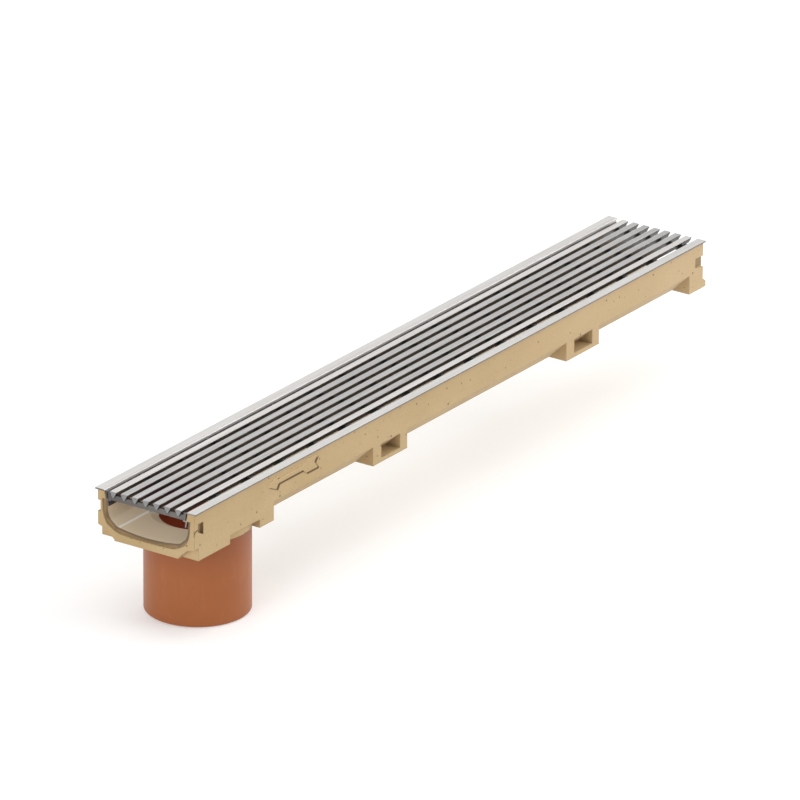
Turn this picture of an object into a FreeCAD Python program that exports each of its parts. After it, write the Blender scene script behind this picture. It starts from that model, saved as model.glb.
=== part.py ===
import FreeCAD, Part
import os

# Linear drainage channel element with a vertical outlet.
# Frame: X runs along the channel from the outlet end (X = 0) to the far end,
# Y runs across it (the side with the flow arrow faces -Y), Z is up and Z = 0
# is the plane that the feet stand on.  All lengths are in millimetres.
# Section points are given as (|y|, z).

# ---------------------------------------------------------------- dimensions
LENGTH = 1000.0          # edge rails, end to end
WIDTH = 135.0            # over both edge rails
HEIGHT = 58.0            # foot plane to the top of rails and grating

# cast body
BODY_W = 130.0
BODY_X0 = 1.5            # end face at the outlet end
BODY_X1 = 998.5          # end face at the far end
SIDE_LOW = 23.0          # lower edge of the upright side between the feet
BELLY_W = 84.0           # flat bottom between the sloping lower corners
BELLY_Z = 0.5            # the feet stand proud of the bottom by this

# edge rails, folded from one sheet
SHEET_T = 1.6
WEB_TOP = (55.3, HEIGHT)        # inside face of the slanting web, top
WEB_LOW = (51.5, 40.5)          # and a lower point on the same face
WEB_END_Z = 38.5                # lower edge of the web
WEB_SETBACK = 3.0               # the web ends this far inside the flange
SEAT_IN = 48.5                  # free edge of the seat tabs
SEAT_SIDE = 2.0                 # a tab is wider than its cross plate by this
BEND_R = 1.6                    # outside of the fold
ANCHOR_PITCH = 125.0
ANCHOR_W = 20.0
ANCHOR_Z = (42.0, 48.5)
ANCHOR_OUT = 61.5
BODY_TOP = HEIGHT - SHEET_T

# inside of the channel
WALL_Y = 54.0
WALL_LOW = 34.0
CURVE_MID = (52.8, 27.8)
SLOPE_TOP = (50.0, 22.5)
SLOPE_LOW = (43.0, 16.6)
FLOOR_EDGE = (39.5, 15.5)
FLOOR_Z = 12.0

# rebate round the opening at both ends
REBATE_DEPTH = 3.5
REBATE_TOP = (59.6, 46.8)
REBATE_WALL = (59.0, 39.0)
REBATE_MID = (57.2, 26.4)
REBATE_CORNER = (52.7, 17.6)
REBATE_SLOPE = (42.6, 11.7)
REBATE_FLOOR = (35.6, 9.5)
REBATE_Z = 8.4

# undercut below the end face at the outlet end
UNDERCUT = ((43.0, 0.0), (43.0, 1.5), (47.0, 5.0), (55.5, 12.0),
            (61.5, 13.7), (65.0, 15.0))

# shallow curved groove between the joint pocket and the end face, (x, z)
GROOVE = ((8.8, 37.0), (6.5, 36.5), (4.2, 36.0), (2.8, 35.2), (1.5, 33.6),
          (0.9, 31.0))
GROOVE_W = 1.3
GROOVE_DEPTH = 0.7

# outlet
OUT_X = 96.9             # outlet axis from the outlet end
SOCKET_OD = 119.6
SOCKET_ID = 111.0        # takes a pipe of 110 mm outside diameter
SOCKET_BOTTOM = -100.5
SOCKET_SHOULDER = -6.0
SOCKET_EDGE_R = 2.6      # rounded lower outer edge
NECK_OD = 110.0
NECK_ID = 100.0
NECK_TOP = 6.0
DROP_R = 42.5            # drop hole in the channel floor
DROP_Z = 9.0
RIM_R = 52.7             # funnel rim round the drop hole
RIM_Z = 13.0
COLLAR_R = 60.6          # cast collar over the socket

# feet, start and end along X
BLOCK = (9.0, 149.7)
BLOCK_GAP = (67.7, 123.4)
BLOCK_GAP_Z = 10.0
FEET = ((338.4, 404.6), (719.2, 785.2))
FAR_FOOT = (970.5, BODY_X1)
WINDOW_IN = 16.0         # window set in from the start of the foot
WINDOW_L = 36.5
WINDOW_Z = (5.0, 22.0)
TONGUE_X1 = 1004.7
TONGUE_TOP = 10.5
TONGUE_TIP = 6.5         # height of the tongue at its end
TONGUE_FLAT = 1000.0     # its top slopes down from here
TONGUE = ((46.5, 0.0), (64.8, 0.0), (64.8, TONGUE_TOP), (54.5, TONGUE_TOP),
          (49.5, 5.8), (46.5, 2.8))

# joint pockets in the sides near the ends
POCKET_DEPTH = 3.5
POCKET = ((8.4, 34.0), (8.4, 43.7), (18.2, 43.5), (18.2, 29.0))
NOTCH = ((0.0, 31.0), (0.0, 43.6), (17.5, 43.5), (17.5, 29.0))
FAR_NOTCH_DEPTH = 2.6
FAR_NOTCH = ((0.0, 25.8), (0.0, 39.8), (17.5, 40.1), (17.5, 29.3))

# flow arrow, raised on the front side, (x, z)
ARROW_H = 0.9
ARROW = ((137.3, 43.2), (155.4, 50.6), (155.4, 45.8), (203.4, 45.8),
         (208.8, 50.7), (230.2, 50.8), (224.9, 44.2), (230.8, 37.4),
         (230.2, 36.2), (208.8, 36.4), (203.3, 41.6), (157.2, 41.6),
         (153.2, 36.0))

# grating
BAR_COUNT = 7
BAR_PITCH = 14.6
BAR_TOP = 8.5
BAR_FLANK = 1.0          # upright part of a bar's side below the top
BAR_TIP = 1.6
BAR_DEPTH = 7.0
BAR_BEVEL = 0.4
BAR_X = (0.5, 999.5)
SUPPORT_T = 3.0
SUPPORT_TOP = 53.0
SUPPORT_LOW = 46.5
SUPPORT_FIRST = 3.0
SUPPORT_PITCH = 61.1
SUPPORT_COUNT = 17
EAR_IN = (49.3, SUPPORT_TOP)
EAR_TOP_IN = (49.8, 55.8)
EAR_TOP_OUT = (53.0, 55.8)
END_LOW = (51.8, SUPPORT_LOW)


def V(x, y, z):
    return FreeCAD.Vector(x, y, z)


def box(x0, x1, y0, y1, z0, z1):
    return Part.makeBox(x1 - x0, y1 - y0, z1 - z0, V(x0, y0, z0))


def prism_yz(points, x0, x1):
    pts = [V(x0, y, z) for y, z in points]
    return Part.Face(Part.makePolygon(pts + [pts[0]])).extrude(V(x1 - x0, 0, 0))


def prism_xz(points, y0, y1):
    pts = [V(x, y0, z) for x, z in points]
    return Part.Face(Part.makePolygon(pts + [pts[0]])).extrude(V(0, y1 - y0, 0))


def band(path, width):
    # outline of a strip of the given width along a path
    left, right = [], []
    for i, (x, z) in enumerate(path):
        ax, az = path[max(i - 1, 0)]
        bx, bz = path[min(i + 1, len(path) - 1)]
        d = ((bx - ax) ** 2 + (bz - az) ** 2) ** 0.5
        nx, nz = -(bz - az) / d * width / 2.0, (bx - ax) / d * width / 2.0
        left.append((x + nx, z + nz))
        right.append((x - nx, z - nz))
    return left + right[::-1]


def line(a, b, x):
    return Part.LineSegment(V(x, a[0], a[1]), V(x, b[0], b[1])).toShape()


def arc(a, m, b, x):
    return Part.Arc(V(x, a[0], a[1]), V(x, m[0], m[1]), V(x, b[0], b[1])).toShape()


def flip(p):
    return (-p[0], p[1])


def other_side(shape):
    return shape.mirror(V(0, 0, 0), V(0, 1, 0))


def both_sides(shape):
    return [shape, other_side(shape)]


def closed_section(right, bottom_mid, top_open, x0, x1):
    # right: list of ("line", a, b) or ("arc", a, m, b) from the top down on
    # the +Y side; the floor is one arc through bottom_mid
    edges = []
    for e in right:
        if e[0] == "line":
            edges.append(line(e[1], e[2], x0))
        else:
            edges.append(arc(e[1], e[2], e[3], x0))
    last = right[-1][-1]
    edges.append(arc(last, bottom_mid, flip(last), x0))
    for e in reversed(right):
        if e[0] == "line":
            edges.append(line(flip(e[2]), flip(e[1]), x0))
        else:
            edges.append(arc(flip(e[3]), flip(e[2]), flip(e[1]), x0))
    edges.append(line(flip(top_open), top_open, x0))
    return Part.Face(Part.Wire(edges)).extrude(V(x1 - x0, 0, 0))


# line of the web's faces: y as a function of z
WEB_SLOPE = (WEB_TOP[0] - WEB_LOW[0]) / (WEB_TOP[1] - WEB_LOW[1])
WEB_SHIFT = SHEET_T * (1.0 + WEB_SLOPE ** 2) ** 0.5


def web_in(z):
    return WEB_TOP[0] - WEB_SLOPE * (WEB_TOP[1] - z)


def web_out(z):
    return web_in(z) + WEB_SHIFT


# ------------------------------------------------------------ cast body
def channel_void(x0, x1):
    # the wall is cast against the outer face of the rail's web, stands
    # upright below it, and runs down to a gently dished floor
    top = (web_out(HEIGHT + 4.0), HEIGHT + 4.0)
    z_meet = WEB_TOP[1] - (WEB_TOP[0] + WEB_SHIFT - WALL_Y) / WEB_SLOPE
    meet = (WALL_Y, z_meet)
    low = (WALL_Y, WALL_LOW)
    right = [("line", top, meet), ("line", meet, low),
             ("arc", low, CURVE_MID, SLOPE_TOP),
             ("line", SLOPE_TOP, SLOPE_LOW),
             ("line", SLOPE_LOW, FLOOR_EDGE)]
    return closed_section(right, (0.0, FLOOR_Z), top, x0, x1)


def rebate(x0, x1):
    right = [("line", REBATE_TOP, REBATE_WALL),
             ("arc", REBATE_WALL, REBATE_MID, REBATE_CORNER),
             ("line", REBATE_CORNER, REBATE_SLOPE),
             ("line", REBATE_SLOPE, REBATE_FLOOR)]
    return closed_section(right, (0.0, REBATE_Z), REBATE_TOP, x0, x1)


def make_body():
    half = BODY_W / 2.0
    belly = BELLY_W / 2.0

    # run between the ends, with sloping lower corners
    right = [(belly, BELLY_Z), (half, SIDE_LOW), (half, BODY_TOP)]
    run = prism_yz([flip(p) for p in reversed(right)] + right, BLOCK[0], BODY_X1)

    # end lip over the undercut at the outlet end
    right = list(UNDERCUT) + [(half, BODY_TOP)]
    lip = prism_yz([flip(p) for p in reversed(right)] + right, BODY_X0, BLOCK[0])

    # outlet block, bracket feet and far foot, full width
    adds = [lip, box(BLOCK[0], BLOCK[1], -half, half, 0.0, 30.0)]
    for x0, x1 in FEET:
        adds.append(box(x0, x1, -half, half, 0.0, 30.0))
    adds.append(box(FAR_FOOT[0], FAR_FOOT[1], -half, half, 0.0, 30.0))
    tongue = prism_yz(TONGUE, BODY_X1 - 6.0, TONGUE_X1).common(prism_xz(
        ((BODY_X1 - 6.0, 0.0), (TONGUE_X1, 0.0), (TONGUE_X1, TONGUE_TIP),
         (TONGUE_FLAT, TONGUE_TOP), (BODY_X1 - 6.0, TONGUE_TOP)), 40.0, half))
    adds.extend(both_sides(tongue))
    adds.append(prism_xz(ARROW, -half - ARROW_H, -half + 2.0))
    adds.append(Part.makeCylinder(COLLAR_R, 5.0, V(OUT_X, 0, 0)))
    body = run.fuse(adds).removeSplitter()

    cuts = [channel_void(BODY_X0 - 5.0, TONGUE_X1 + 5.0),
            rebate(BODY_X0 - 1.0, BODY_X0 + REBATE_DEPTH),
            rebate(BODY_X1 - REBATE_DEPTH, BODY_X1 + 1.0)]

    # windows that leave the feet as brackets, closed inside by the slope
    z0, z1 = WINDOW_Z
    slope = (half - belly) / (SIDE_LOW - BELLY_Z)
    for x0, x1 in FEET:
        w0 = x0 + WINDOW_IN
        tri = prism_yz([(half + 1.0, z0),
                        (belly + slope * (z0 - BELLY_Z), z0),
                        (belly + slope * (z1 - BELLY_Z), z1),
                        (half + 1.0, z1)],
                       w0, w0 + WINDOW_L)
        cuts.extend(both_sides(tri))

    # gap between the two feet of the outlet block, left round the collar
    gap = box(BLOCK_GAP[0], BLOCK_GAP[1], 40.0, half + 1.0, -1.0, BLOCK_GAP_Z)
    gap = gap.cut(Part.makeCylinder(COLLAR_R, BLOCK_GAP_Z + 3.0, V(OUT_X, 0, -2.0)))
    cuts.extend(both_sides(gap))

    # seat of the outlet neck, drop hole and funnel
    cuts.append(Part.makeCylinder(NECK_OD / 2.0, NECK_TOP + 1.0, V(OUT_X, 0, -1.0)))
    cuts.append(Part.makeCylinder(DROP_R, DROP_Z, V(OUT_X, 0, 0.5)))
    cuts.append(Part.makeCone(DROP_R, RIM_R, RIM_Z - DROP_Z, V(OUT_X, 0, DROP_Z)))
    cuts.append(Part.makeCylinder(RIM_R, 22.0, V(OUT_X, 0, RIM_Z)))

    # joint pockets: closed on one side of an end, open on the other, and
    # turned half round from one end to the other
    pd = POCKET_DEPTH
    end = BODY_X0 + BODY_X1
    cuts.append(prism_xz(POCKET, -half - 1.0, -half + pd))
    cuts.append(prism_xz(NOTCH, half - pd, half + 1.0))
    cuts.append(prism_xz([(end - x, z) for x, z in POCKET], half - pd, half + 1.0))
    cuts.append(prism_xz([(end - x, z) for x, z in FAR_NOTCH],
                         -half - 1.0, -half + FAR_NOTCH_DEPTH))

    # groove beside the closed pockets
    strip = band(GROOVE, GROOVE_W)
    gd = GROOVE_DEPTH
    cuts.append(prism_xz(strip, -half - 1.0, -half + gd))
    cuts.append(prism_xz([(end - x, z) for x, z in strip], half - gd, half + 1.0))

    return body.cut(cuts).removeSplitter()


# ------------------------------------------------------------ edge rails
def make_rail():
    # folded sheet on the +Y side: flange on the wall and slanting web
    out = WIDTH / 2.0
    low = WEB_END_Z
    pts = [(out, HEIGHT), (web_in(HEIGHT), HEIGHT), (web_in(low), low),
           (web_out(low), low), (web_out(BODY_TOP), BODY_TOP),
           (out, BODY_TOP)]
    rail = prism_yz(pts, 0.0, LENGTH)

    # bend radius along the fold
    def runs_at(edge, y, z):
        a, b = edge.Vertexes[0].Point, edge.Vertexes[-1].Point
        return (abs(a.x - b.x) > LENGTH / 2.0 and abs(a.y - y) < 0.01
                and abs(a.z - z) < 0.01)

    folds = [e for e in rail.Edges if runs_at(e, pts[1][0], pts[1][1])]
    rail = rail.makeFillet(BEND_R, folds)

    # the web stops short of the flange's ends
    for x0, x1 in ((-1.0, WEB_SETBACK), (LENGTH - WEB_SETBACK, LENGTH + 1.0)):
        rail = rail.cut(box(x0, x1, SEAT_IN - 2.0, out + 1.0, low - 2.0, BODY_TOP))

    # seat tabs, turned inwards from the web under each cross plate
    top = SUPPORT_LOW
    for k in range(SUPPORT_COUNT):
        x0 = SUPPORT_FIRST + SUPPORT_PITCH * k
        a = max(x0 - SEAT_SIDE, WEB_SETBACK)
        b = x0 + SUPPORT_T + SEAT_SIDE
        root = web_in(top - SHEET_T) + 0.5 * WEB_SHIFT
        rail = rail.fuse(box(a, b, SEAT_IN, root, top - SHEET_T, top))

    # anchors cast into the wall: a tab out of the web, turned down at its end
    n = int(round(LENGTH / ANCHOR_PITCH))
    z0, z1 = ANCHOR_Z
    t = SHEET_T
    for i in range(n):
        a = ANCHOR_PITCH * (i + 0.5) - ANCHOR_W / 2.0
        b = a + ANCHOR_W
        root = web_in(z1) + 0.5 * WEB_SHIFT
        rail = rail.fuse([box(a, b, root, ANCHOR_OUT, z1 - t, z1),
                          box(a, b, ANCHOR_OUT - t, ANCHOR_OUT, z0, z1)])
    return rail.removeSplitter()


# ------------------------------------------------------------ grating
def make_bar(index):
    # wedge bar, wide side up
    yc = (index - (BAR_COUNT - 1) / 2.0) * BAR_PITCH
    h, b, tip = BAR_TOP / 2.0, BAR_BEVEL, BAR_TIP / 2.0
    right = [(tip, HEIGHT - BAR_DEPTH), (h, HEIGHT - BAR_FLANK),
             (h, HEIGHT - b), (h - b, HEIGHT)]
    left = [flip(p) for p in reversed(right)]
    return prism_yz([(yc + y, z) for y, z in right + left], BAR_X[0], BAR_X[1])


def make_support(x0, bars):
    # plate across the channel, notched for the bars, with an ear at each
    # end; its ends stand on the seat tabs of the rails
    right = [EAR_IN, EAR_TOP_IN, EAR_TOP_OUT, END_LOW]
    left = [flip(p) for p in reversed(right)]
    plate = prism_yz(right + left, x0, x0 + SUPPORT_T)
    return plate.cut(bars).removeSplitter()


# ------------------------------------------------------------ outlet
def make_outlet():
    # pipe socket below the body, with a shoulder and a neck in the floor
    ro, ri = SOCKET_OD / 2.0, SOCKET_ID / 2.0
    no, ni = NECK_OD / 2.0, NECK_ID / 2.0
    zb, zs, zt = SOCKET_BOTTOM, SOCKET_SHOULDER, NECK_TOP
    r = SOCKET_EDGE_R
    k = r * (1.0 - 0.5 ** 0.5)
    pts = [(ro - r, zb), (ri + 0.8, zb), (ri, zb + 2.0), (ri, zs - 1.5),
           (ri - 1.5, zs), (ni, zs), (ni, zt), (no, zt), (no, 0.0),
           (ro, 0.0), (ro, zb + r)]
    vs = [V(OUT_X + a, 0, z) for a, z in pts]
    edges = [Part.LineSegment(a, b).toShape() for a, b in zip(vs, vs[1:])]
    edges.append(Part.Arc(vs[-1], V(OUT_X + ro - k, 0, zb + k), vs[0]).toShape())
    face = Part.Face(Part.Wire(edges))
    return face.revolve(V(OUT_X, 0, 0), V(0, 0, 1), 360)


# ------------------------------------------------------------ build
nodes = {}

rail_back = make_rail()
rail_front = other_side(rail_back)
nodes["edge_rail_back"] = rail_back
nodes["edge_rail_front"] = rail_front
nodes["channel_body"] = make_body().cut([rail_back, rail_front])

bars = [make_bar(i) for i in range(BAR_COUNT)]
for i, b in enumerate(bars):
    nodes["grating_bar_%d" % (i + 1)] = b

for k in range(SUPPORT_COUNT):
    x0 = SUPPORT_FIRST + SUPPORT_PITCH * k
    nodes["cross_support_%02d" % (k + 1)] = make_support(x0, bars)

nodes["outlet_spigot"] = make_outlet()

os.makedirs("parts", exist_ok=True)
for name in sorted(nodes):
    shape = nodes[name]
    solids = shape.Solids
    shape = solids[0] if len(solids) == 1 else Part.Compound(solids)
    bb = shape.BoundBox
    print(name, "solids", len(solids), "valid", shape.isValid(),
          "cm3 %.2f" % (shape.Volume / 1000.0),
          "x %.1f..%.1f y %.1f..%.1f z %.1f..%.1f"
          % (bb.XMin, bb.XMax, bb.YMin, bb.YMax, bb.ZMin, bb.ZMax))
    shape.exportStep(os.path.join("parts", name + ".step"))
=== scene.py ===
import math
import bpy
from mathutils import Vector, Matrix

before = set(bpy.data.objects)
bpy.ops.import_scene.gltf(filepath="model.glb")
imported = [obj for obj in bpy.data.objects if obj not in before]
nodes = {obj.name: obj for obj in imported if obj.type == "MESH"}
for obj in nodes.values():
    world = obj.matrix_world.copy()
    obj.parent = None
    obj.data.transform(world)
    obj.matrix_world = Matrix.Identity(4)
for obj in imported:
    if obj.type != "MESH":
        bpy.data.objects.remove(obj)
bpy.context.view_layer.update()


# ------------------------------------------------------------ node helpers
class Mat:
    """A small helper round one node material."""

    def __init__(self, name):
        self.m = bpy.data.materials.new(name)
        self.m.use_nodes = True
        self.t = self.m.node_tree
        self.t.nodes.clear()
        self.out = self.t.nodes.new("ShaderNodeOutputMaterial")
        self.bsdf = self.t.nodes.new("ShaderNodeBsdfPrincipled")
        self.t.links.new(self.bsdf.outputs["BSDF"], self.out.inputs["Surface"])
        self.tc = self.t.nodes.new("ShaderNodeTexCoord")

    def n(self, kind, **values):
        node = self.t.nodes.new(kind)
        for k, v in values.items():
            setattr(node, k, v)
        return node

    def link(self, a, b):
        self.t.links.new(a, b)

    def put(self, socket, value):
        if hasattr(value, "is_output"):
            self.link(value, socket)
        else:
            socket.default_value = value

    def pos(self):
        return self.tc.outputs["Object"]

    def mapped(self, scale=(1, 1, 1), offset=(0, 0, 0)):
        mp = self.n("ShaderNodeMapping")
        self.link(self.pos(), mp.inputs["Vector"])
        mp.inputs["Scale"].default_value = scale
        mp.inputs["Location"].default_value = offset
        return mp.outputs["Vector"]

    def noise(self, scale, detail=3.0, rough=0.55, vec=None, distortion=0.0):
        nz = self.n("ShaderNodeTexNoise")
        self.link(vec if vec is not None else self.pos(), nz.inputs["Vector"])
        nz.inputs["Scale"].default_value = scale
        nz.inputs["Detail"].default_value = detail
        nz.inputs["Roughness"].default_value = rough
        nz.inputs["Distortion"].default_value = distortion
        return nz.outputs["Fac"]

    def voronoi(self, scale, vec=None, feature="F1", randomness=1.0):
        vo = self.n("ShaderNodeTexVoronoi", feature=feature)
        self.link(vec if vec is not None else self.pos(), vo.inputs["Vector"])
        vo.inputs["Scale"].default_value = scale
        vo.inputs["Randomness"].default_value = randomness
        return vo

    def ramp(self, fac, stops, interpolation="LINEAR"):
        r = self.n("ShaderNodeValToRGB")
        self.link(fac, r.inputs["Fac"])
        r.color_ramp.interpolation = interpolation
        els = r.color_ramp.elements
        while len(els) < len(stops):
            els.new(0.5)
        for e, (p, c) in zip(els, stops):
            e.position = p
            e.color = c if len(c) == 4 else (*c, 1.0)
        return r.outputs["Color"]

    def grey(self, fac, stops, interpolation="LINEAR"):
        return self.ramp(fac, [(p, (v, v, v)) for p, v in stops], interpolation)

    def mix(self, fac, a, b, blend="MIX"):
        mx = self.n("ShaderNodeMix", data_type="RGBA", blend_type=blend)
        self.put(mx.inputs["Factor"], fac)
        self.put(mx.inputs["A"], a)
        self.put(mx.inputs["B"], b)
        return mx.outputs["Result"]

    def math(self, op, a, b=0.0, clamp=False):
        mt = self.n("ShaderNodeMath", operation=op, use_clamp=clamp)
        self.put(mt.inputs[0], a)
        self.put(mt.inputs[1], b)
        if op == "MULTIPLY_ADD":
            mt.inputs[2].default_value = 0.0
        return mt.outputs[0]

    def separate(self, vec=None):
        s = self.n("ShaderNodeSeparateXYZ")
        self.link(vec if vec is not None else self.pos(), s.inputs[0])
        return s.outputs

    def outline(self, x, z, shapes, soft):
        """1 inside any of the convex outlines (clockwise seen with X right
        and Z up), falling to 0 over `soft` metres."""
        total = None
        for pts in shapes:
            inside = None
            for (ax, az), (bx, bz) in zip(pts, pts[1:] + pts[:1]):
                d = math.hypot(bx - ax, bz - az)
                nx, nz = (bz - az) / d, -(bx - ax) / d
                # distance on the inner side of the edge a to b
                v = self.math("ADD", self.math("MULTIPLY", x, nx),
                              self.math("MULTIPLY_ADD", z, nz))
                v = self.math("SUBTRACT", v, ax * nx + az * nz)
                inside = v if inside is None else self.math("MINIMUM", inside, v)
            total = inside if total is None else self.math("MAXIMUM", total, inside)
        return self.math("MULTIPLY", self.math("ADD", total, soft / 2.0), 1.0 / soft, True)

    def pores(self, u, v, scale, radius, least):
        """Round pores, one to a cell, in the cells whose random value is
        above `least`; their size varies with a second random value."""
        c = self.n("ShaderNodeCombineXYZ")
        self.link(u, c.inputs[0])
        self.link(v, c.inputs[1])
        vo = self.n("ShaderNodeTexVoronoi", feature="F1", voronoi_dimensions="2D")
        self.link(c.outputs[0], vo.inputs["Vector"])
        vo.inputs["Scale"].default_value = scale
        r = self.separate(vo.outputs["Color"])
        size = self.math("MULTIPLY", self.math("ADD", r[1], 0.35), radius)
        depth = self.math("SUBTRACT", 1.3, self.math("DIVIDE", vo.outputs["Distance"], size))
        depth = self.math("MULTIPLY", depth, 2.5, True)
        return self.math("MULTIPLY", depth, self.math("GREATER_THAN", r[0], least))

    def normal_z(self):
        g = self.n("ShaderNodeNewGeometry")
        return self.separate(g.outputs["Normal"])

    def bevel(self, radius, samples=4):
        b = self.n("ShaderNodeBevel", samples=samples)
        self.put(b.inputs["Radius"], radius)
        return b.outputs["Normal"]

    def bump(self, height, strength, distance, normal=None):
        b = self.n("ShaderNodeBump")
        self.put(b.inputs["Height"], height)
        b.inputs["Strength"].default_value = strength
        b.inputs["Distance"].default_value = distance
        if normal is not None:
            self.link(normal, b.inputs["Normal"])
        return b.outputs["Normal"]

    def set(self, name, value):
        self.put(self.bsdf.inputs[name], value)


def rgb(r, g, b):
    """sRGB 0-255 to linear."""
    def f(v):
        v /= 255.0
        return v / 12.92 if v <= 0.04045 else ((v + 0.055) / 1.055) ** 2.4
    return (f(r), f(g), f(b), 1.0)


# ------------------------------------------------------------ materials
# the flow arrow's raised outline, as convex pieces, (x, z) in metres
ARROW_SHAPES = [
    [(0.1373, 0.0432), (0.1554, 0.0506), (0.1572, 0.0416), (0.1532, 0.0360)],
    [(0.1540, 0.0458), (0.2040, 0.0458), (0.2040, 0.0416), (0.1540, 0.0416)],
    [(0.2034, 0.0458), (0.2088, 0.0507), (0.2302, 0.0508), (0.2249, 0.0442)],
    [(0.2034, 0.0458), (0.2249, 0.0442), (0.2308, 0.0374), (0.2302, 0.0362),
     (0.2088, 0.0364), (0.2033, 0.0416)],
]


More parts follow.
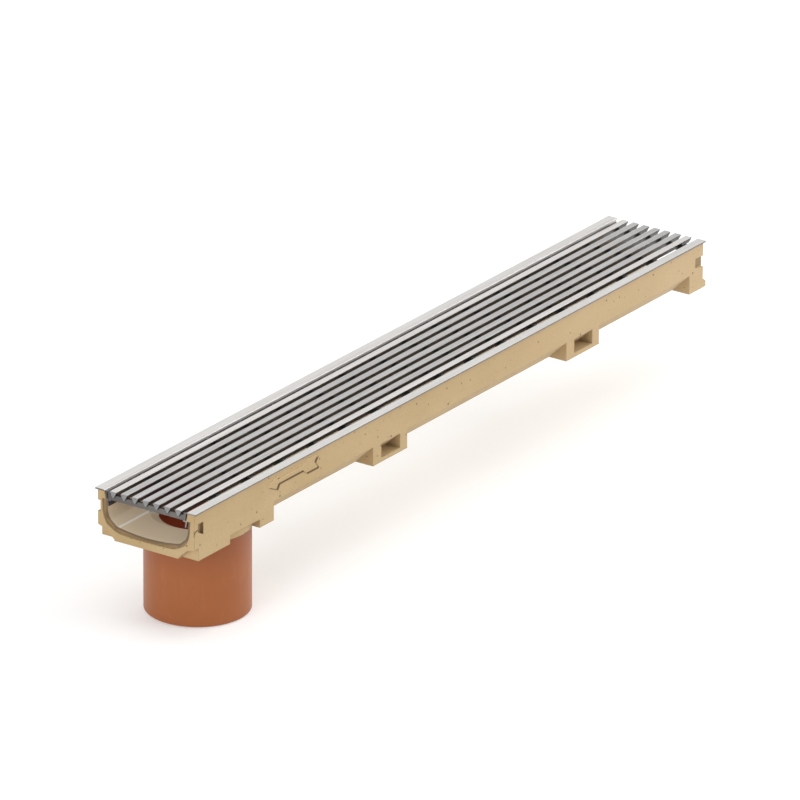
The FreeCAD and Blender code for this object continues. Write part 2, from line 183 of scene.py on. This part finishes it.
def concrete():
    m = Mat("polymer_concrete")
    x, y, z = m.separate()
    ay = m.math("ABSOLUTE", y)

    # outer faces: cast against the mould, warm, with mottling and air pores
    broad = m.noise(9.0, 3.0, 0.5)
    streak = m.noise(5.0, 4.0, 0.6, m.mapped((0.6, 1.0, 2.6)))
    fine = m.noise(420.0, 4.0, 0.65)
    grain = m.noise(1500.0, 2.0, 0.6)
    base = m.ramp(broad, [(0.32, rgb(168, 143, 101)), (0.5, rgb(174, 149, 107)),
                          (0.68, rgb(179, 154, 114))])
    base = m.mix(0.30, base, m.ramp(streak, [(0.35, rgb(163, 134, 91)), (0.65, rgb(184, 161, 123))]))
    base = m.mix(m.grey(fine, [(0.35, 0.0), (0.75, 0.20)]), base, rgb(150, 124, 86))
    sand = m.voronoi(900.0)
    base = m.mix(m.grey(sand.outputs["Distance"], [(0.0, 0.14), (0.3, 0.0)]), base, rgb(206, 188, 156))
    # paler towards the far end
    pale = m.math("MULTIPLY", m.math("SUBTRACT", x, 0.30), 1.6, True)
    base = m.mix(m.math("MULTIPLY", pale, 0.32), base, rgb(200, 176, 144))
    u = m.math("ADD", x, y)
    pit1 = m.pores(u, z, 38.0, 0.035, 0.42)
    pit2 = m.pores(u, z, 92.0, 0.056, 0.84)
    pits = m.math("MAXIMUM", pit1, pit2)

    # inside of the trough: greyer and smoother, without open pores
    inside = m.math("LESS_THAN", ay, 0.0603)
    inside = m.math("MULTIPLY", inside, m.math("LESS_THAN", m.math("SUBTRACT", ay, m.math(
        "MULTIPLY", m.math("SUBTRACT", z, 0.0085), 1.03)), 0.0445))
    inside = m.math("MULTIPLY", inside, m.math("GREATER_THAN", z, 0.0082))
    inside = m.math("MULTIPLY", inside, m.math("GREATER_THAN", x, 0.0018))
    inside = m.math("MULTIPLY", inside, m.math("LESS_THAN", x, 0.9982))
    smooth = m.ramp(broad, [(0.3, rgb(227, 205, 174)), (0.7, rgb(234, 214, 184))])
    smooth = m.mix(m.grey(fine, [(0.4, 0.0), (0.75, 0.10)]), smooth, rgb(200, 176, 142))
    base = m.mix(inside, base, smooth)
    pits = m.math("MULTIPLY", pits, m.math("SUBTRACT", 1.0, inside))
    # the air pores are painted dark, painted shade inside them
    base = m.mix(m.math("MULTIPLY", pits, 0.78), base, rgb(92, 64, 34))

    # painted highlight where the slope meets the floor, on the +Y side only
    crease_highlight = m.math("MULTIPLY", inside, m.grey(m.math("MULTIPLY", m.math("SUBTRACT", ay, 0.0370), 200.0, True),
                                             [(0.06, 0.0), (0.26, 1.0), (0.66, 1.0), (0.9, 0.0)]))
    crease_highlight = m.math("MULTIPLY", crease_highlight, m.math("LESS_THAN", z, 0.0190))
    crease_highlight = m.math("MULTIPLY", crease_highlight, m.math("GREATER_THAN", x, 0.0055))
    crease_highlight = m.math("MULTIPLY", crease_highlight, m.math("GREATER_THAN", y, 0.0))
    base = m.mix(m.math("MULTIPLY", crease_highlight, 0.90), base, rgb(255, 250, 238))

    # painted shade on the step faces of the end rebates, in the pockets and in the
    # recessed strip of the sides; painted shadow beside the arrow's relief, painted light on its upward faces
    nx, ny, nz = m.normal_z()
    ends = m.math("ADD", m.math("LESS_THAN", x, 0.0052), m.math("GREATER_THAN", x, 0.9948))
    ends = m.math("MULTIPLY", ends, inside)
    facing = m.grey(m.math("ABSOLUTE", nx), [(0.5, 0.0), (0.8, 1.0)])
    base = m.mix(m.math("MULTIPLY", ends, m.math("SUBTRACT", 1.0, facing)), base, rgb(176, 150, 110))
    # distance outside the channel's own outline; painted shade on the rebate's step, darkest along it
    dish = m.math("ADD", m.math("MULTIPLY", m.math("MULTIPLY", ay, ay), 2.25), 0.0120)
    out_low = m.math("SUBTRACT", dish, z)
    out_slope = m.math("SUBTRACT", m.math("MULTIPLY", m.math("SUBTRACT", ay, 0.0430), 0.644),
                       m.math("MULTIPLY", m.math("SUBTRACT", z, 0.0166), 0.765))
    out_wall = m.math("SUBTRACT", ay, 0.0540)
    out = m.math("MAXIMUM", out_wall, m.math("MINIMUM", m.math("MAXIMUM", out_slope, 0.0), 1.0))
    out = m.math("MAXIMUM", out, m.math("MULTIPLY", out_low, m.math("LESS_THAN", ay, 0.0420)))
    rebate_shade = m.ramp(m.math("MULTIPLY", out, 250.0, True), [(0.30, rgb(80, 57, 28)), (0.58, rgb(106, 79, 43)), (0.95, rgb(142, 114, 72))])
    base = m.mix(m.math("MULTIPLY", m.math("MULTIPLY", ends, facing), 0.90), base, rebate_shade)
    # painted shadow of the raised arrow: its outline moved right and down, painted dark on the side wall
    on_side = m.math("MULTIPLY", m.math("LESS_THAN", y, -0.0648), m.math("GREATER_THAN", y, -0.0655))
    dx, dz = 0.0046, -0.0031
    relief = [[(px + dx, pz + dz) for px, pz in shape] for shape in ARROW_SHAPES]
    below = m.math("MULTIPLY", m.outline(x, z, relief, 0.0014), on_side)
    base = m.mix(m.math("MULTIPLY", below, 0.95), base, rgb(84, 59, 29))
    # painted light: near the arrow, faces turned up or towards -X are painted a light tan
    near = m.math("MULTIPLY", m.math("LESS_THAN", m.math("ABSOLUTE", m.math("SUBTRACT", x, 0.183)), 0.053),
                  m.math("LESS_THAN", y, -0.0640))
    lit = m.math("MULTIPLY", near, m.grey(m.math("SUBTRACT", nz, m.math("MULTIPLY", nx, 0.6)), [(0.35, 0.0), (0.6, 1.0)]))
    base = m.mix(m.math("MULTIPLY", lit, 0.85), base, rgb(250, 228, 186))
    # painted shade in the pockets on the sides near both ends
    pocket_shade = m.math("MULTIPLY", m.math("GREATER_THAN", ay, 0.0610), m.math("LESS_THAN", ay, 0.0648))
    pocket_shade = m.math("MULTIPLY", pocket_shade, m.math("MULTIPLY", m.math("GREATER_THAN", x, 0.0022), m.math("LESS_THAN", x, 0.9978)))
    pocket_shade = m.math("MULTIPLY", pocket_shade, m.math("MULTIPLY", m.math("GREATER_THAN", z, 0.0280), m.math("LESS_THAN", z, 0.0440)))
    pocket_shade = m.math("MULTIPLY", pocket_shade, m.math("ADD", m.math("LESS_THAN", m.math("ABSOLUTE", m.math("SUBTRACT", x, 0.010)), 0.0085),
                                               m.math("LESS_THAN", m.math("ABSOLUTE", m.math("SUBTRACT", x, 0.990)), 0.0085)))
    base = m.mix(m.math("MULTIPLY", pocket_shade, 0.55), base, rgb(96, 68, 36))
    # painted shade in the narrow recessed strip of the side walls, 30 to 37.8 mm up
    groove_shade = m.math("MULTIPLY", m.math("GREATER_THAN", ay, 0.0640), m.math("LESS_THAN", ay, 0.06495))
    groove_shade = m.math("MULTIPLY", groove_shade, m.math("MULTIPLY", m.math("GREATER_THAN", z, 0.0300), m.math("LESS_THAN", z, 0.0378)))
    base = m.mix(m.math("MULTIPLY", groove_shade, 0.60), base, rgb(84, 60, 30))
    m.set("Base Color", base)
    m.set("Roughness", m.mix(inside, m.grey(fine, [(0.3, 0.62), (0.7, 0.8)]), (0.45, 0.45, 0.45, 1.0)))
    m.bsdf.inputs["Specular IOR Level"].default_value = 0.35
    h = m.math("ADD", m.math("MULTIPLY", fine, 0.5), m.math("MULTIPLY", grain, 0.35))
    h = m.math("MULTIPLY", h, m.math("SUBTRACT", 1.0, m.math("MULTIPLY", inside, 0.6)))
    h = m.math("SUBTRACT", h, m.math("MULTIPLY", pits, 1.6))
    h = m.math("ADD", h, m.math("MULTIPLY", m.noise(60.0, 2.0, 0.5), 0.6))
    round_r = m.math("SUBTRACT", 0.0012, m.math("MULTIPLY", near, 0.0009))
    m.set("Normal", m.bump(h, 0.35, 0.0006, m.bevel(round_r)))
    return m.m


def steel(name, tone, dark, rough, flank_shade, end, edge=None, bright_z=None, end_back_shade=None):
    """Pickled steel, brushed along X on top. Faces that look sideways or
    down get a darker grey, painted shade; cut ends have a colour of their
    own, on the rail darkened as painted shade."""
    m = Mat(name)
    brush = m.noise(260.0, 5.0, 0.6, m.mapped((0.03, 1.0, 1.0)))
    hair = m.noise(1400.0, 2.0, 0.6, m.mapped((0.015, 1.0, 1.0)))
    cloud = m.noise(7.0, 3.0, 0.55, m.mapped((0.6, 1.0, 1.0)))
    spots = m.noise(180.0, 3.0, 0.6)
    base = m.mix(m.grey(brush, [(0.3, 0.0), (0.7, 1.0)]), tone, dark)
    base = m.mix(m.grey(cloud, [(0.38, 0.0), (0.66, 0.45)]), base, dark)
    nx, ny, nz = m.normal_z()
    up = m.grey(nz, [(0.45, 0.0), (0.85, 1.0)])
    cut = m.grey(m.math("ABSOLUTE", nx), [(0.7, 0.0), (0.9, 1.0)])
    # painted highlight: above bright_z, faces other than cut ends get the top's light colour
    if bright_z is not None:
        z = m.separate()[2]
        fold_highlight = m.math("MULTIPLY", m.math("SUBTRACT", z, bright_z), 900.0, True)
        up = m.math("MAXIMUM", up, m.math("MULTIPLY", fold_highlight, m.math("SUBTRACT", 1.0, cut)))
    # painted shade: faces that look sideways or down get the darker grey passed in for them
    side = m.mix(m.grey(spots, [(0.3, 0.0), (0.7, 1.0)]), flank_shade, tuple(0.7 * c for c in flank_shade[:3]) + (1.0,))
    cutc = m.mix(m.grey(spots, [(0.3, 0.0), (0.7, 1.0)]), end, tuple(0.8 * c for c in end[:3]) + (1.0,))
    # painted shade: the cut faces turn darker towards +Y
    if end_back_shade is not None:
        back = m.math("MULTIPLY", m.math("ADD", m.separate()[1], 0.002), 20.0, True)
        cutc = m.mix(back, cutc, end_back_shade)
    base = m.mix(up, m.mix(cut, side, cutc), base)
    # painted shade: the narrow outer face of the rail is painted dark
    if edge is not None:
        ay = m.math("ABSOLUTE", m.separate()[1])
        outer = m.math("MULTIPLY", m.math("GREATER_THAN", ay, 0.0668),
                       m.math("LESS_THAN", nz, 0.5))
        base = m.mix(outer, base, edge)
    m.set("Base Color", base)
    m.bsdf.inputs["Metallic"].default_value = 0.6
    r = m.math("ADD", m.grey(brush, [(0.25, rough - 0.05), (0.75, rough + 0.08)]),
               m.math("MULTIPLY", m.math("SUBTRACT", spots, 0.5), 0.12))
    m.set("Roughness", r)
    h = m.math("ADD", m.math("MULTIPLY", brush, 0.6), m.math("MULTIPLY", hair, 0.4))
    m.set("Normal", m.bump(h, 0.18, 0.00015, m.bevel(0.0004)))
    return m.m


def pipe():
    m = Mat("pipe_plastic")
    x, y, z = m.separate()
    broad = m.noise(12.0, 3.0, 0.5)
    fine = m.noise(700.0, 3.0, 0.6)
    scuff = m.noise(90.0, 4.0, 0.7, m.mapped((1.0, 1.0, 0.35)))
    base = m.ramp(broad, [(0.35, rgb(147, 82, 39)), (0.65, rgb(152, 87, 43))])
    base = m.mix(m.grey(scuff, [(0.55, 0.0), (0.8, 0.12)]), base, rgb(186, 128, 96))
    # painted shade where the socket meets the body, and painted light inside the socket's hole, a lighter red
    top = m.grey(m.math("MULTIPLY", m.math("ADD", z, 0.045), 22.0, True), [(0.0, 0.0), (1.0, 0.50)])
    base = m.mix(top, base, rgb(112, 52, 28))
    radius = m.math("SQRT", m.math("ADD", m.math("POWER", m.math("SUBTRACT", x, 0.0969), 2.0), m.math("POWER", y, 2.0)))
    bore_lit = m.math("LESS_THAN", radius, 0.0565)
    base = m.mix(m.math("MULTIPLY", bore_lit, 0.80), base, rgb(206, 112, 74))
    m.set("Base Color", base)
    m.set("Roughness", m.grey(fine, [(0.3, 0.36), (0.7, 0.44)]))
    m.bsdf.inputs["Specular IOR Level"].default_value = 0.34
    m.set("Normal", m.bump(fine, 0.08, 0.0002, m.bevel(0.0008)))
    return m.m


CUT_GREY = rgb(139, 138, 138)
MATERIALS = {
    "channel_body": concrete(),
    "rail": steel("rail_steel", rgb(203, 201, 199), rgb(190, 187, 184), 0.42, rgb(98, 92, 90), rgb(148, 138, 131),
                  rgb(116, 112, 108), 0.0542, rgb(98, 92, 91)),
    "bar": steel("grating_steel", rgb(203, 201, 198), rgb(190, 186, 183), 0.40, rgb(60, 57, 56), CUT_GREY),
    "bar_darker": steel("grating_steel_darker", rgb(179, 177, 175), rgb(158, 156, 155), 0.40, rgb(60, 57, 56), CUT_GREY),
    "support": steel("support_steel", rgb(76, 74, 74), rgb(64, 62, 62), 0.50, rgb(64, 62, 62), rgb(108, 105, 101),
                     end_back_shade=rgb(92, 87, 87)),
    "pipe": pipe(),
}

for name, o in nodes.items():
    if name.startswith("edge_rail"):
        mat = MATERIALS["rail"]
    # bars 1 and 7 get the lighter grey, the inner bars a darker one
    elif name in ("grating_bar_1", "grating_bar_7"):
        mat = MATERIALS["bar"]
    elif name.startswith("grating_bar"):
        mat = MATERIALS["bar_darker"]
    elif name.startswith("cross_support"):
        mat = MATERIALS["support"]
    elif name == "outlet_spigot":
        mat = MATERIALS["pipe"]
    else:
        mat = MATERIALS["channel_body"]
    if not o.material_slots:
        o.data.materials.append(mat)
    for s in o.material_slots:
        s.material = mat


# ------------------------------------------------------------ stage
def plane(name, size, z):
    me = bpy.data.meshes.new(name)
    s = size / 2.0
    me.from_pydata([(-s, -s, z), (s, -s, z), (s, s, z), (-s, s, z)], [], [(0, 1, 2, 3)])
    o = bpy.data.objects.new(name, me)
    bpy.context.scene.collection.objects.link(o)
    return o


floor = plane("floor", 240.0, -0.1010)
fm = Mat("floor_white")
fn = fm.noise(3.0, 2.0, 0.5)
fm.set("Base Color", fm.ramp(fn, [(0.3, (0.73, 0.73, 0.73)), (0.7, (0.75, 0.75, 0.75))]))
fm.bsdf.inputs["Roughness"].default_value = 0.9
fm.bsdf.inputs["Emission Color"].default_value = (1.0, 1.0, 1.0, 1.0)
# the lights fade with distance, and the floor's own glow makes up for it
fx, fy, fz = fm.separate()
reach = fm.math("SQRT", fm.math("ADD", fm.math("POWER", fm.math("SUBTRACT", fx, 0.5), 2.0), fm.math("POWER", fy, 2.0)))
glow = fm.math("MULTIPLY", fm.math("SUBTRACT", reach, 1.5), 0.6, True)
fm.set("Emission Strength", fm.math("ADD", fm.math("MULTIPLY", glow, 0.32), 0.30))
floor.data.materials.append(fm.m)


def aim(o, target):
    d = Vector(target) - o.location
    o.rotation_mode = "QUATERNION"
    o.rotation_quaternion = d.to_track_quat("-Z", "Y")


def area(name, loc, target, size, power, color=(1, 1, 1)):
    d = bpy.data.lights.new(name, "AREA")
    d.shape = "RECTANGLE"
    d.size, d.size_y = size
    d.energy = power
    d.color = color
    o = bpy.data.objects.new(name, d)
    bpy.context.scene.collection.objects.link(o)
    o.location = loc
    aim(o, target)
    return o


centre = (0.5, 0.0, 0.0)
area("key", (1.9, -3.7, 2.6), centre, (2.6, 2.4), 62.0)
area("key_far", (4.3, -1.9, 2.4), centre, (2.4, 2.4), 62.0)
area("top", (0.6, 0.2, 3.6), centre, (3.2, 3.2), 42.0)
area("back", (3.4, 3.0, 2.4), centre, (3.0, 2.0), 22.0)
area("end", (-3.6, 0.1, 1.1), centre, (2.2, 1.6), 49.0)

world = bpy.data.worlds.new("studio")
bpy.context.scene.world = world
world.use_nodes = True
wt = world.node_tree
bg = wt.nodes["Background"]
bg.inputs["Strength"].default_value = 1.0
# even light grey, going over to white at and below the horizon
coords = wt.nodes.new("ShaderNodeTexCoord")
parts = wt.nodes.new("ShaderNodeSeparateXYZ")
sky = wt.nodes.new("ShaderNodeValToRGB")
wt.links.new(coords.outputs["Generated"], parts.inputs[0])
wt.links.new(parts.outputs[2], sky.inputs["Fac"])
wt.links.new(sky.outputs["Color"], bg.inputs["Color"])
sky.color_ramp.elements[0].position, sky.color_ramp.elements[0].color = 0.12, (1.0, 1.0, 1.0, 1.0)
sky.color_ramp.elements[1].position, sky.color_ramp.elements[1].color = 0.26, (0.6, 0.6, 0.6, 1.0)

# ------------------------------------------------------------ camera
az, el, roll = math.radians(-55.090), math.radians(22.304), math.radians(0.295)
back = Vector((math.sin(az) * math.cos(el), -math.cos(az) * math.cos(el), math.sin(el)))
right = Vector((math.cos(az), math.sin(az), 0.0))
up = back.cross(right)
R = math.cos(roll) * right + math.sin(roll) * up
U = -math.sin(roll) * right + math.cos(roll) * up
cam_data = bpy.data.cameras.new("camera")
cam_data.sensor_fit = "HORIZONTAL"
cam_data.sensor_width = 36.0
cam_data.lens = 514.23
cam_data.clip_start, cam_data.clip_end = 0.5, 400.0
cam = bpy.data.objects.new("camera", cam_data)
bpy.context.scene.collection.objects.link(cam)
rot = Matrix((R, U, back)).transposed().to_4x4()
cam.matrix_world = Matrix.Translation((-9.2354, -6.7824, 4.8774)) @ rot
bpy.context.scene.camera = cam

vs = bpy.context.scene.view_settings
vs.view_transform = "Standard"
vs.look = "None"
vs.exposure = 0.0
vs.gamma = 1.0

bpy.context.view_layer.update()
